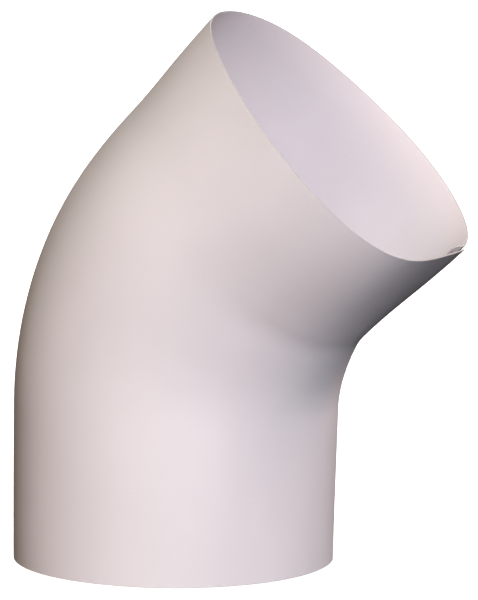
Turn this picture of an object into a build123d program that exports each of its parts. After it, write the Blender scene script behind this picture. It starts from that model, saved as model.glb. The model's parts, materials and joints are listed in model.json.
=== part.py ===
"""Slit PVC cover for a 45 degree elbow in insulated pipe.

The cover is one thin sheet, formed to the elbow and open along its throat, the inside of
the bend. It springs open about its heel, the outside of the bend, so each zone of the sheet
that moves apart is a node of its own: two leaves that meet along the heel, and the laps at
their free edges, where the near leaf's lies over the far leaf's beside the throat.

The origin is the centre of the lower rim. The lower leg runs up +Z, the bend turns towards
+X, and the bend's own plane, y = 0, parts the near leaf (-Y) from the far leaf (+Y).
"""

import os
from math import cos, degrees, radians, sin

from build123d import *

# Driving dimensions, in millimetres and degrees
insulation_diameter = 114.3  # outside of the insulation that the cover wraps
wall = 0.5  # thickness of the sheet
bend_angle = 45.0  # turn from the lower leg to the upper leg
bend_radius = 92.5  # radius of the bend's centreline
lower_leg = 55.5  # straight run below the bend
upper_collar = 28.5  # straight run above the bend, as far as the lip
lip_run = 18.0  # last stretch before the mouth, which opens out
lip_flare = 1.0  # radius gained over the lip
lap_start = 10.0  # from the throat to the far leaf's free edge, round the sheet
lap_width = 9.0  # overlap of the free edges, beyond the far leaf's

# Clearance
lap_clearance = 0.3  # between the laps at the throat, at rest and while the cover opens

# The sheet's radii and the angles between which the inner lap lies
inner_radius = insulation_diameter / 2
outer_radius = inner_radius + wall
lap_start_angle = degrees(lap_start / outer_radius)
lap_end_angle = degrees((lap_start + lap_width) / outer_radius)

# Stations along the pipe's route. In each plane x points from the heel to the throat.
bend_turn = radians(bend_angle)
lower_rim = Plane.XY
bend_start = lower_rim.offset(lower_leg)
bend_axis = Axis((bend_radius, 0, lower_leg), (0, 1, 0))
bend_end = Plane(
    origin=(bend_radius * (1 - cos(bend_turn)), 0, lower_leg + bend_radius * sin(bend_turn)),
    x_dir=(cos(bend_turn), 0, -sin(bend_turn)),
    z_dir=(sin(bend_turn), 0, cos(bend_turn)),
)
lip_start = bend_end.offset(upper_collar)
mouth = lip_start.offset(lip_run)

# The far leaf is true to the pipe. The near leaf is rolled wider about a centre nearer the
# throat, so it leaves the heel flush with the far leaf and clears it at the throat.
near_centre = (wall + lap_clearance) / 2
near_radius = inner_radius + near_centre

# The cover opens about the heel's tangent halfway round the bend. The outer lap is curved
# about that line, where the throat is farthest from it, so it slides off without lifting.
half_turn = bend_turn / 2
heel_to_rim = (bend_radius + outer_radius) * (1 - cos(half_turn)) + lower_leg * sin(half_turn)
outer_lap_radius = heel_to_rim + 2 * outer_radius * cos(half_turn)
outer_lap_centre = near_centre + near_radius - outer_lap_radius
outer_lap_angle = degrees((lap_start + lap_width) / outer_lap_radius)


def band(station, centre, radius, start, size):
    """Section of the sheet: an arc one wall thick, from the start angle, size degrees long."""
    with BuildSketch(station) as section:
        with BuildLine():
            inside = CenterArc((centre, 0), radius, start, size)
            outside = CenterArc((centre, 0), radius + wall, start, size)
            Line(inside @ 0, outside @ 0)
            Line(inside @ 1, outside @ 1)
        make_face()
    return section.sketch


def run_band(centre, radius, start, size):
    """Add to the open part the band's run from the lower rim, round the bend, to the mouth."""
    extrude(band(lower_rim, centre, radius, start, size), amount=lower_leg)
    revolve(band(bend_start, centre, radius, start, size), bend_axis, bend_angle)
    extrude(band(bend_end, centre, radius, start, size), amount=upper_collar)
    lip_sections = (
        band(lip_start, centre, radius, start, size),
        band(mouth, centre, radius + lip_flare, start, size),
    )
    loft(lip_sections, ruled=True)


# Angles count from the throat, towards +Y, so the heel is at 180 degrees
with BuildPart() as far_leaf:
    run_band(0, inner_radius, lap_end_angle, 180 - lap_end_angle)

with BuildPart() as inner_lap:
    run_band(0, inner_radius, lap_start_angle, lap_end_angle - lap_start_angle)

with BuildPart() as near_leaf:
    run_band(near_centre, near_radius, 180, 180)

with BuildPart() as outer_lap:
    run_band(outer_lap_centre, outer_lap_radius, 0, outer_lap_angle)

far_leaf.part.label = "far_leaf"
inner_lap.part.label = "inner_lap"
near_leaf.part.label = "near_leaf"
outer_lap.part.label = "outer_lap"

os.makedirs("parts", exist_ok=True)
for zone in (far_leaf, inner_lap, near_leaf, outer_lap):
    export_step(zone.part, f"parts/{zone.part.label}.step")
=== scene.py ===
"""Looks of a slit PVC cover for a 45 degree elbow in insulated pipe.

The whole cover is one sheet, written here as one formula in two values: the distance along
the pipe's route and the angle round it. Three shells show it. The near and far shells ride
on their CAD bodies, and the heel shell, where the real sheet bends as it is sprung open, lies
between them, fixed in place. Lengths are in metres, and angles in radians unless a comment says so.
"""

import json
import math

import bpy
import numpy as np
from mathutils import Matrix, Vector

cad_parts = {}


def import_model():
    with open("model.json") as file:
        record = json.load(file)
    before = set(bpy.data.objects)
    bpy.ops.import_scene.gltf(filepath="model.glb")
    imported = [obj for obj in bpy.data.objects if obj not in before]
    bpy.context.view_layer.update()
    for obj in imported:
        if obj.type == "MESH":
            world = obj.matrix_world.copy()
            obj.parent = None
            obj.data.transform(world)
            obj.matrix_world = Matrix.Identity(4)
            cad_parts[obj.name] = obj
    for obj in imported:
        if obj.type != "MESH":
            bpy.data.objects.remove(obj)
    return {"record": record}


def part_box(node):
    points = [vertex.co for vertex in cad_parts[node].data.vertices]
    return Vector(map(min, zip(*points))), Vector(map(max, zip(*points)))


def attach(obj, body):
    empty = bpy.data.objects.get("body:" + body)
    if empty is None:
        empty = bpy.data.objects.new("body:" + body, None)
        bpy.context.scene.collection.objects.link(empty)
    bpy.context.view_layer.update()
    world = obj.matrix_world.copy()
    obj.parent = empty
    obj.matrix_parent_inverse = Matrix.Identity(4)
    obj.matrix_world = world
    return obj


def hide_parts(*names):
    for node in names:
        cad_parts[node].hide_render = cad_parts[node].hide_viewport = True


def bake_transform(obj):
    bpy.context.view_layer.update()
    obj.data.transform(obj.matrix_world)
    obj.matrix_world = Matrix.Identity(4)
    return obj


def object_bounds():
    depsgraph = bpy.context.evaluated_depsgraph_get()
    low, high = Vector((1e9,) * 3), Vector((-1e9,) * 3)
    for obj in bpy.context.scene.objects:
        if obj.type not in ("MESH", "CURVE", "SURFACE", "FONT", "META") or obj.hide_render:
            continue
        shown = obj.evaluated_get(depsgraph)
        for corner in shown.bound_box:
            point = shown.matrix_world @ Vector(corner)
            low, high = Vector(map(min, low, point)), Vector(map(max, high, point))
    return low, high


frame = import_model()
cad_low, cad_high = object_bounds()

MM = 0.001

# ---------------------------------------------------------------------------------------
# The sheet's sizes, read from the frame
# ---------------------------------------------------------------------------------------

mounts = {mount["name"]: mount for mount in frame["record"]["mounts"]}
lower_collar, upper_collar = mounts["lower_collar"], mounts["upper_collar"]
inner_radius = lower_collar["dims"]["r_mm"] * MM
wall = 2 * (mounts["lower_rim"]["pos_m"][1] - inner_radius)
outer_radius = inner_radius + wall
lower_leg = lower_collar["dims"]["length_mm"] * MM
upper_axis = Vector(upper_collar["axis"])
turn = math.atan2(upper_axis.x, upper_axis.z)
bend_end = Vector(upper_collar["pos_m"]) - upper_collar["dims"]["length_mm"] * MM * upper_axis
bend_radius = bend_end.x / (1 - math.cos(turn))
bend_stop = lower_leg + bend_radius * turn

# The mouth's edge is the far leaf's widest part, and its heel is the model's highest point
mouth_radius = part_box("far_leaf")[1].y
mouth_height = cad_high.z - mouth_radius * math.sin(turn)
upper_leg = (mouth_height - bend_end.z) / math.cos(turn)
route_length = bend_stop + upper_leg

# The near leaf is rolled wider than the far one by a wall and a clearance at the throat
lap_step = 2 * (-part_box("near_leaf")[0].y - mouth_radius)
# The far side's free edge and the lap's, as angles past the throat
far_edge = math.asin(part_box("inner_lap")[0].y / inner_radius)
lap_edge = math.asin(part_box("inner_lap")[1].y / mouth_radius)

# ---------------------------------------------------------------------------------------
# The form that the sheet has taken
# ---------------------------------------------------------------------------------------

TUCK_ANGLE = math.radians(22.5)  # the far side dips over this angle to pass under the lap
TUCK_FLAT = 0.6  # and is fully under it for this share of the angle
MOUTH_TUCK = 0.9 * MM  # how much deeper it dips at the mouth
LAP_SPRING = 0.35 * MM  # how far the lap's free edge springs out
LAP_LIFT = 0.4 * MM  # how much further it springs out at the mouth
NECK = 1.2 * MM  # how far the sheet draws in at the bend's upper end
NECK_LENGTH = 22 * MM  # and how fast that fades to each side
LIP_FLARE = 0.55 * MM  # how far the mouth opens out
LIP_LENGTH = 35 * MM  # and how far down from the edge that starts
LIP_POWER = 1.5  # over 1, the flare steepens towards the edge
RIM_CURL = 0.5 * MM  # how far the lower rim draws in
RIM_LENGTH = 90 * MM  # and how far up that starts
OVAL_LENGTH = 16 * MM  # how far the mouth's oval form reaches into the bend
WARP_LENGTH = 17 * MM  # and how far its warp does

# Waves round the sheet in millimetres, as {waves in a turn: (cosine, sine)}, counted from
# the throat towards the near side. The slit lets the mouth spread into an oval, nearly flat
# along the lap, and leaves the lower rim a little flat there too. These waves were not chosen
# by hand: a least-squares program fitted them to the photo's outlines, and they are its
# results, rounded to 0.05. Most of the values above started in the same fit.
MOUTH_OUT = {1: (1.9, 0.05), 2: (1.05, 0.35), 3: (-1.85, 0.15), 4: (-1.15, -0.65), 5: (-0.55, 0.15)}
MOUTH_ALONG = {
    1: (-0.05, 0.25), 2: (-0.05, -0.55), 3: (0.2, -0.3), 4: (0.15, 0.15), 5: (0.25, -0.15)
}
RIM_OUT = {1: (-0.55, 0.65), 2: (-0.55, -0.05)}


def waves(amplitudes, angle):
    """Sum of a few waves round the sheet, in metres."""
    total = np.zeros_like(angle)
    for count, (cosine, sine) in amplitudes.items():
        total += cosine * np.cos(count * angle) + sine * np.sin(count * angle)
    return total * MM


def ease(share):
    """Smooth step from 0 to 1."""
    return share * share * (3 - 2 * share)


def sheet(along, angle, depth):
    """Points of the sheet. The angle runs from the throat, by the far side (+Y), the heel at
    pi and the near side, to the throat again at 2 pi, and on over the lap. Depth is how far
    a point lies under the outer face."""
    over = np.clip((angle - 2 * math.pi) / lap_edge, 0, 1)
    high = ease(np.clip((along - bend_stop) / upper_leg, 0, 1))
    radius = outer_radius - depth + (LAP_SPRING + LAP_LIFT * high) * over**2
    under = 1 - ease(np.clip((angle / TUCK_ANGLE - TUCK_FLAT) / (1 - TUCK_FLAT), 0, 1))
    radius -= (lap_step + MOUTH_TUCK * high) * under
    lip = np.clip((along - route_length + LIP_LENGTH) / LIP_LENGTH, 0, 1) ** LIP_POWER
    low = np.clip(1 - along / RIM_LENGTH, 0, 1)
    oval = ease(np.clip((along - bend_stop + OVAL_LENGTH) / (upper_leg + OVAL_LENGTH), 0, 1))
    radius += LIP_FLARE * lip + oval * waves(MOUTH_OUT, -angle)
    radius -= NECK * np.exp(-(((along - bend_stop) / NECK_LENGTH) ** 2))
    radius += ease(low) * waves(RIM_OUT, -angle) - RIM_CURL * low**2

    turned = np.clip((along - lower_leg) / bend_radius, 0, turn)
    past = np.maximum(along - bend_stop, 0)
    x = bend_radius * (1 - np.cos(turned)) + past * math.sin(turn)
    z = np.minimum(along, lower_leg) + bend_radius * np.sin(turned) + past * math.cos(turn)

    warp = np.clip((along - bend_stop + WARP_LENGTH) / (upper_leg + WARP_LENGTH), 0, 1) ** 2
    shift = warp * waves(MOUTH_ALONG, -angle)
    across = radius * np.cos(angle)
    x = x + across * np.cos(turned) + shift * np.sin(turned)
    z = z - across * np.sin(turned) + shift * np.cos(turned)
    return np.stack([x, radius * np.sin(angle), z], axis=-1)


# ---------------------------------------------------------------------------------------
# Materials
# ---------------------------------------------------------------------------------------

# Linear colours
SHEET_COLOUR = (0.83, 0.765, 0.8)
GRAIN_COLOUR = (0.87, 0.82, 0.84)
SCUFF_COLOUR = (0.9, 0.87, 0.88)
SPECK_COLOUR = (0.3, 0.26, 0.23)
# The cut edges' colour is painted shade: it is set well below the sheet's colour to stand for the
# light that the rims miss.
CUT_PAINTED_SHADE_COLOUR = (0.5, 0.465, 0.48)
SOIL_COLOUR = (0.36, 0.33, 0.32)
FLOOR_COLOURS = (0.88, 0.88, 0.88), (0.9, 0.9, 0.9)

# Plain noise, as (repeats per metre across and along, octaves)
SWELL = (70, 55), 1
PEEL = (900, 900), 2
NOISE_ROUGHNESS = 0.55

# Noise cut into patches, as the same two and the noise at which a patch starts and is full
CLOUDS = (34, 26), 3, 0.34, 0.66
GRAIN = (2200, 2200), 1, 0.3, 0.7
DRAW_LINES = (1100, 45), 2, 0.56, 0.72
SCUFFS = (320, 900), 3, 0.45, 0.62
KNIFE_MARKS = (2600, 2600), 3, 0.35, 0.65
SOIL = (140, 140), 2, 0.5, 0.68
FLOOR_MOTTLE = (6, 6), 3, 0.3, 0.7

SPECK_CELLS = 150  # cells per metre, of which few hold a speck
CELLS_WITHOUT_SPECK = 0.93
SPECK_EDGE = 0.012, 0.03  # a speck's solid and faded radius, in cells

# How deep the textures are
SWELL_DEPTH = 0.03 * MM
PEEL_DEPTH = 0.006 * MM
DRAW_DEPTH = 0.002 * MM
KNIFE_DEPTH = 0.01 * MM

CLOUD_SHADE = 0.985, 1.015  # darkest and palest, against the sheet's colour
KNIFE_SHADE = 0.93, 1.05
GRAIN_SHARE, SCUFF_SHARE, SPECK_SHARE, SOIL_SHARE = 0.45, 0.35, 0.55, 0.3
SATIN, DULL = 0.45, 0.58  # roughness of the clean sheet and of its marks
CLOUD_ROUGHNESS = 0.03  # how far the clouds change it
CUT_ROUGHNESS = 0.62, 0.8
RIM_WEAR = 2.5 * MM  # how far from the rims the sheet is scuffed by handling


def new_material(name):
    """A node material with a Principled shader, as (material, shader)."""
    material = bpy.data.materials.new(name)
    material.use_nodes = True
    return material, material.node_tree.nodes["Principled BSDF"]


def feed(material, socket, value):
    """Links an input to a node's output, or sets it to a plain value."""
    if isinstance(value, bpy.types.NodeSocket):
        material.node_tree.links.new(value, socket)
    else:
        socket.default_value = value


def add_node(material, kind, **settings):
    """A shader node, with its settings and what is fed to its inputs."""
    node = material.node_tree.nodes.new("ShaderNode" + kind)
    for name, value in settings.items():
        if hasattr(node, name):
            setattr(node, name, value)
        else:
            feed(material, node.inputs[name], value)
    return node


def noise(material, place, scale, detail):
    """Noise, for the most part between 0.3 and 0.7."""
    stretched = add_node(material, "Mapping", Vector=place, Scale=(*scale, 1)).outputs[0]
    settings = {"Vector": stretched, "Scale": 1, "Detail": detail, "Roughness": NOISE_ROUGHNESS}
    return add_node(material, "TexNoise", **settings).outputs[0]


def ramp(material, value, start, stop, low, high):
    """A value brought smoothly from one range into another."""
    node = add_node(material, "MapRange", interpolation_type="SMOOTHSTEP", Value=value)
    for name, number in zip(("From Min", "From Max", "To Min", "To Max"), (start, stop, low, high)):
        node.inputs[name].default_value = number
    return node.outputs[0]


def patches(material, place, scale, detail, start, stop):
    """Noise cut into soft patches, from 0 between them to 1 on them."""
    return ramp(material, noise(material, place, scale, detail), start, stop, 0, 1)


def combine(material, operation, *values):
    """A sum, product or other figure of two values."""
    node = add_node(material, "Math", operation=operation)
    for socket, value in zip(node.inputs, values):
        feed(material, socket, value)
    return node.outputs[0]


def tint(material, share, plain, marked):
    """A colour between two, each an output or linear RGB, by a share from another output."""
    node = add_node(material, "Mix", data_type="RGBA")
    sockets = {socket.identifier: socket for socket in node.inputs}
    feed(material, sockets["Factor_Float"], share)
    for name, colour in (("A_Color", plain), ("B_Color", marked)):
        feed(material, sockets[name], (*colour, 1) if isinstance(colour, tuple) else colour)
    return next(out for out in node.outputs if out.identifier == "Result_Color")


def bump(material, height, distance, below=None):
    """Bump from a height of 0 to 1 that stands for that distance."""
    node = add_node(material, "Bump", Height=height, Distance=distance, Strength=1)
    if below is not None:
        feed(material, node.inputs["Normal"], below)
    return node.outputs[0]


def shade(colour, factor):
    """A colour made darker or paler."""
    return tuple(channel * factor for channel in colour)


def sheet_pvc():
    """Satin white PVC sheet, with the faint clouding, orange peel and drawing marks of a
    vacuum-formed sheet, a few specks, and scuffs along the rims."""
    material, shader = new_material("sheet_pvc")
    place = add_node(material, "UVMap", uv_map="sheet").outputs[0]
    clouds = patches(material, place, *CLOUDS)
    grain = patches(material, place, *GRAIN)
    draw = patches(material, place, *DRAW_LINES)

    distance = add_node(material, "SeparateXYZ", Vector=place).outputs[1]
    lower = ramp(material, distance, 0, RIM_WEAR, 1, 0)
    upper = ramp(material, distance, route_length - RIM_WEAR, route_length, 0, 1)
    rims = combine(material, "MAXIMUM", lower, upper)
    worn = combine(material, "MULTIPLY", rims, patches(material, place, *SCUFFS))

    cells = add_node(material, "TexVoronoi", Vector=place, Scale=SPECK_CELLS)
    near = ramp(material, cells.outputs["Distance"], *SPECK_EDGE, 1, 0)
    chance = add_node(material, "SeparateColor", Color=cells.outputs["Color"]).outputs[0]
    chosen = combine(material, "GREATER_THAN", chance, CELLS_WITHOUT_SPECK)
    specks = combine(material, "MULTIPLY", near, chosen)

    colour = tint(material, clouds, *[shade(SHEET_COLOUR, factor) for factor in CLOUD_SHADE])
    layers = (
        (grain, GRAIN_SHARE, GRAIN_COLOUR),
        (worn, SCUFF_SHARE, SCUFF_COLOUR),
        (specks, SPECK_SHARE, SPECK_COLOUR),
    )
    for mask, share, marked in layers:
        colour = tint(material, combine(material, "MULTIPLY", mask, share), colour, marked)
    rough = ramp(material, combine(material, "MAXIMUM", draw, worn), 0, 1, SATIN, DULL)
    uneven = ramp(material, clouds, 0, 1, -CLOUD_ROUGHNESS, CLOUD_ROUGHNESS)
    normal = bump(material, noise(material, place, *SWELL), SWELL_DEPTH)
    normal = bump(material, noise(material, place, *PEEL), PEEL_DEPTH, normal)
    normal = bump(material, draw, DRAW_DEPTH, normal)
    feed(material, shader.inputs["Base Color"], colour)
    feed(material, shader.inputs["Roughness"], combine(material, "ADD", rough, uneven))
    feed(material, shader.inputs["Normal"], normal)
    return material


def cut_pvc_painted_shade():
    """The sheet's cut edges, duller than its faces and darkened by painted shade, with the marks of
    the trimming knife.
    """
    material, shader = new_material("cut_pvc_painted_shade")
    place = add_node(material, "UVMap", uv_map="sheet").outputs[0]
    marks = patches(material, place, *KNIFE_MARKS)
    soil = patches(material, place, *SOIL)
    # Painted shade: the cut edges start from the darkened cut colour, then take knife marks and
    # patches of soil.
    colour = tint(material, marks, *[shade(CUT_PAINTED_SHADE_COLOUR, factor) for factor in KNIFE_SHADE])
    soil_and_painted_shade = tint(material, combine(material, "MULTIPLY", soil, SOIL_SHARE), colour, SOIL_COLOUR)
    feed(material, shader.inputs["Base Color"], soil_and_painted_shade)
    feed(material, shader.inputs["Roughness"], ramp(material, marks, 0, 1, *CUT_ROUGHNESS))
    feed(material, shader.inputs["Normal"], bump(material, marks, KNIFE_DEPTH))
    return material


# ---------------------------------------------------------------------------------------
# Shells
# ---------------------------------------------------------------------------------------

ROW_STEP = 1.6 * MM  # between the mesh's rows, along the route
COLUMN_STEP = math.radians(1.5)  # and between its columns, round the sheet
EDGE_RADIUS = 0.12 * MM  # the cut rims are barely rounded
EDGE_STEPS = 3  # facets round each corner of a rim
HEEL_HALF = math.radians(60)  # the heel shell reaches this far to each side of the heel
NORMAL_STEP = math.radians(0.25)  # over which the sheet's slope is taken
INNER_SIDE, CUT_SIDE = 0.5, 1.0  # shift the inner face and the end cuts in the UV map
FACE, CUT = 0, 1  # material indices


def profile():
    """One loop round the sheet's thickness, as distances along the route and depths: up the
    outer face, over the mouth's rim, down the inner face and under the lower rim."""
    rows = round(route_length / ROW_STEP)
    face = np.linspace(EDGE_RADIUS, route_length - EDGE_RADIUS, rows)
    corner = np.linspace(0, math.pi / 2, EDGE_STEPS + 1)
    out, under = EDGE_RADIUS * np.sin(corner), EDGE_RADIUS * (1 - np.cos(corner))
    mouth = face[-1] + np.concatenate([out[1:], out[::-1]])
    rim = face[0] - np.concatenate([out[1:], out[::-1]])
    outer_to_inner = np.concatenate([under[1:], wall - under[::-1]])
    along = np.concatenate([face, mouth, face[::-1][1:], rim[:-1]])
    depth = np.concatenate(
        [np.zeros(rows), outer_to_inner, np.full(rows - 1, wall), wall - outer_to_inner[:-1]]
    )
    return along, depth


def shell(name, start, stop, materials):
    """A closed piece of the sheet between two angles. It has the sheet's own normals, so that
    neighbouring shells shade as one surface, and a UV map of the sheet laid flat."""
    along, depth = profile()
    size = len(along)
    columns = round((stop - start) / COLUMN_STEP) + 1
    angles = np.linspace(start, stop, columns)
    grid = np.broadcast_arrays(along[None, :], angles[:, None], depth[None, :])
    points = sheet(*grid)
    around = sheet(grid[0], grid[1] + NORMAL_STEP, grid[2])
    around -= sheet(grid[0], grid[1] - NORMAL_STEP, grid[2])
    lengthwise = np.roll(points, -1, axis=1) - np.roll(points, 1, axis=1)
    normals = np.cross(around, lengthwise)

    faces, uvs, loop_normals, kinds = [], [], [], []

    def add(corners, flat, facing, kind):
        """Adds a face with its corners' UVs and normals and its material."""
        faces.append([column * size + row for column, row in corners])
        uvs.extend(flat)
        loop_normals.extend(facing)
        kinds.append(kind)

    for column in range(columns - 1):
        for row in range(size):
            after = (row + 1) % size
            corners = [(column, row), (column + 1, row), (column + 1, after), (column, after)]
            middle = (depth[row] + depth[after]) / 2
            side = INNER_SIDE if middle > wall / 2 else 0
            flat = [(angles[c] * outer_radius + side, along[r]) for c, r in corners]
            kind = CUT if 0 < middle < wall else FACE
            add(corners, flat, [normals[c, r] for c, r in corners], kind)

    # Each end is closed by quads straight across the thickness, from rim to rim
    for column, sign in ((0, -1), (columns - 1, 1)):
        for step in range(size // 2 - 1):
            outer, inner = step - EDGE_STEPS, -1 - EDGE_STEPS - step
            rows = [row % size for row in (outer, outer + 1, inner - 1, inner)][::-sign]
            flat = [(depth[r] + CUT_SIDE, along[r]) for r in rows]
            add([(column, r) for r in rows], flat, [sign * around[column, r] for r in rows], CUT)

    mesh = bpy.data.meshes.new(name)
    mesh.from_pydata(points.reshape(-1, 3).tolist(), [], faces, shade_flat=False)
    pairs = np.array([edge.vertices for edge in mesh.edges])
    column, row = pairs // size, pairs % size
    at_end = (column[:, 0] == column[:, 1]) & np.isin(column[:, 0], (0, columns - 1))
    next_row = np.isin(np.abs(row[:, 0] - row[:, 1]), (1, size - 1))
    sharp = mesh.attributes.new("sharp_edge", "BOOLEAN", "EDGE")
    sharp.data.foreach_set("value", at_end & next_row)
    mesh.polygons.foreach_set("material_index", kinds)
    for material in materials:
        mesh.materials.append(material)
    mesh.uv_layers.new(name="sheet").data.foreach_set("uv", np.array(uvs).ravel())
    unit = np.array(loop_normals)
    unit /= np.linalg.norm(unit, axis=1, keepdims=True)
    mesh.normals_split_custom_set(unit.tolist())
    mesh.update()
    piece = bpy.data.objects.new(name, mesh)
    bpy.context.scene.collection.objects.link(piece)
    return piece


finishes = [sheet_pvc(), cut_pvc_painted_shade()]
far_stop, near_start = math.pi - HEEL_HALF, math.pi + HEEL_HALF
far_shell = shell("far_shell", far_edge, far_stop, finishes)
near_shell = shell("near_shell", near_start, 2 * math.pi + lap_edge, finishes)
heel_shell = shell("heel_shell", far_stop, near_start, finishes)

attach(far_shell, "far_side")
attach(near_shell, "near_side")
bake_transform(heel_shell)
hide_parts("far_leaf", "inner_lap")
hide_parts("near_leaf", "outer_lap")

# ---------------------------------------------------------------------------------------
# Floor, light and camera
# ---------------------------------------------------------------------------------------

FLOOR_DROP = 0.2 * MM  # keeps the floor just under the lower rim
FLOOR_FLAT, FLOOR_BEND = 3.0, 1.5  # metres of flat floor round the cover, then of upward bend
FLOOR_SIDES, FLOOR_STEPS = 96, 16  # facets round the floor and up its bend
FLOOR_GLOW = 0.88  # keeps the floor as pale in the shade as in the light


def studio_floor():
    """A plain pale floor that turns up into a round wall, with no shadow or bounce of its own."""
    rise = np.linspace(0, math.pi / 2, FLOOR_STEPS + 1)
    radii = FLOOR_FLAT + FLOOR_BEND * np.sin(rise)
    heights = FLOOR_BEND * (1 - np.cos(rise)) - FLOOR_DROP
    circle = np.arange(FLOOR_SIDES) * 2 * math.pi / FLOOR_SIDES
    points = []
    for radius, height in zip(radii, heights):
        points += [(radius * math.cos(a), radius * math.sin(a), height) for a in circle]
    faces = [list(range(FLOOR_SIDES))]
    for step in range(FLOOR_STEPS):
        for side in range(FLOOR_SIDES):
            low, after = step * FLOOR_SIDES, (side + 1) % FLOOR_SIDES
            high = low + FLOOR_SIDES
            faces.append([low + side, high + side, high + after, low + after])
    mesh = bpy.data.meshes.new("studio_floor")
    mesh.from_pydata(points, [], faces, shade_flat=False)
    floor = bpy.data.objects.new("studio_floor", mesh)
    bpy.context.scene.collection.objects.link(floor)

    material, shader = new_material("studio_floor")
    place = add_node(material, "TexCoord").outputs["Object"]
    colour = tint(material, patches(material, place, *FLOOR_MOTTLE), *FLOOR_COLOURS)
    feed(material, shader.inputs["Base Color"], colour)
    shader.inputs["Roughness"].default_value = 1
    shader.inputs["Emission Color"].default_value = (1, 1, 1, 1)
    shader.inputs["Emission Strength"].default_value = FLOOR_GLOW
    mesh.materials.append(material)
    floor.visible_diffuse = floor.visible_glossy = floor.visible_shadow = False


def direction(azimuth, elevation):
    """Unit vector towards a point, from degrees of azimuth, 0 at -Y and 90 at +X, and elevation."""
    a, e = math.radians(azimuth), math.radians(elevation)
    return Vector((math.sin(a) * math.cos(e), -math.cos(a) * math.cos(e), math.sin(e)))


# The camera's angles, lens and aim were fitted to the photo's outlines along with the sizes
CAMERA_AZIMUTH, CAMERA_ELEVATION, CAMERA_ROLL = 23.83, 7.4, 0.6  # degrees
CAMERA_DISTANCE = 24 * outer_radius
LENS, SENSOR = 236.2, 36  # millimetres
CLIP = 0.05, 20  # metres
AIM_ACROSS, AIM_UP = 0.510, 0.479  # what the camera looks at, as shares of the CAD box


def camera():
    """A long lens that looks at the cover from its near side, a little downwards."""
    data = bpy.data.cameras.new("camera")
    data.lens = LENS
    data.sensor_width = SENSOR
    eye = bpy.data.objects.new("camera", data)
    bpy.context.scene.collection.objects.link(eye)
    back = direction(CAMERA_AZIMUTH, CAMERA_ELEVATION)
    target = Vector((cad_low.x + AIM_ACROSS * (cad_high.x - cad_low.x), 0, AIM_UP * cad_high.z))
    eye.location = target + back * CAMERA_DISTANCE
    right = Vector((-back.y, back.x, 0)).normalized()
    up = back.cross(right)
    roll = math.radians(CAMERA_ROLL)
    rolled_right = right * math.cos(roll) + up * math.sin(roll)
    rolled_up = up * math.cos(roll) - right * math.sin(roll)
    eye.rotation_mode = "QUATERNION"
    eye.rotation_quaternion = Matrix((rolled_right, rolled_up, back)).transposed().to_quaternion()
    data.clip_start, data.clip_end = CLIP
    bpy.context.scene.camera = eye


SUN_SOFTNESS = math.radians(15)
# Each sun's degrees round from the camera and above the floor, its strength and its colour.
# Strengths and colours began as a program's match to the photo's shading, then changed.
SUNS = {
    "key_left": (-30, 12, 1.0, (1.0, 0.8, 0.62)),
    "key_front": (14, 19, 2.5, (0.9, 0.925, 1.0)),
    "side_right": (110, 45, 1.65, (1.0, 0.86, 0.76)),
    "top": (0, 80, 1.05, (0.98, 1.0, 0.78)),
    "back": (180, 28, 1.5, (1.0, 0.97, 0.98)),
}
AMBIENT_COLOUR, AMBIENT_STRENGTH = (0.9, 0.88, 1, 1), 0.006


def sun(name, azimuth, elevation, strength, colour):
    """A soft sun lamp that shines from a direction, in degrees."""
    light = bpy.data.lights.new(name, "SUN")
    light.energy = strength
    light.color = colour
    light.angle = SUN_SOFTNESS
    lamp = bpy.data.objects.new(name, light)
    bpy.context.scene.collection.objects.link(lamp)
    lamp.rotation_mode = "QUATERNION"
    lamp.rotation_quaternion = direction(azimuth, elevation).to_track_quat("Z", "Y")


def world():
    """A trace of light from all round, and colours shown as they are."""
    scene = bpy.context.scene
    scene.world = bpy.data.worlds.new("studio")
    scene.world.use_nodes = True
    background = scene.world.node_tree.nodes["Background"]
    background.inputs["Color"].default_value = AMBIENT_COLOUR
    background.inputs["Strength"].default_value = AMBIENT_STRENGTH
    scene.view_settings.view_transform = "Standard"


studio_floor()
for name, (azimuth, elevation, strength, colour) in SUNS.items():
    sun(name, CAMERA_AZIMUTH + azimuth, elevation, strength, colour)
world()
camera()
